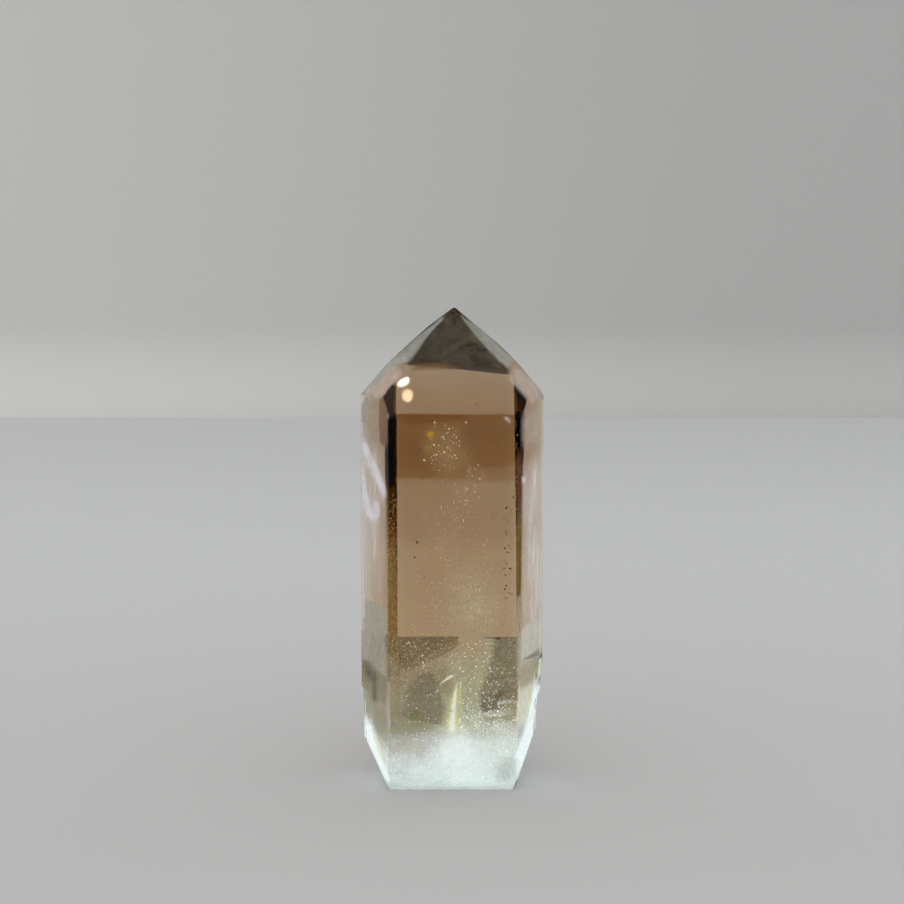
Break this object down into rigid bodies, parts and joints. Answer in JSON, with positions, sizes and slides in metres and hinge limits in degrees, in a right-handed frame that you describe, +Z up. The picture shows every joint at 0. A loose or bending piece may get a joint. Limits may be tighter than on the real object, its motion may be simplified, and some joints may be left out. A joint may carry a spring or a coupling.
{
  "type": "smoky quartz point",
  "caption": "Polished smoky quartz point: a slim six-sided crystal prism with a faceted tip and a flat root, clear brown and fading to a milky, sparkling foot.",
  "frame": {"origin": "centre of the crystal's width and depth, on the flat root", "axes": "+Z up along the prism towards the tip, -Y out of the widest face of the prism, +X to the right seen from that face"},
  "size_m": [0.0228, 0.0138, 0.0599],
  "materials": {
    "smoky_quartz": "polished, see-through"
  },
  "bodies": {
    "root": {"quartz_point": "smoky_quartz"}
  },
  "joints": []
}
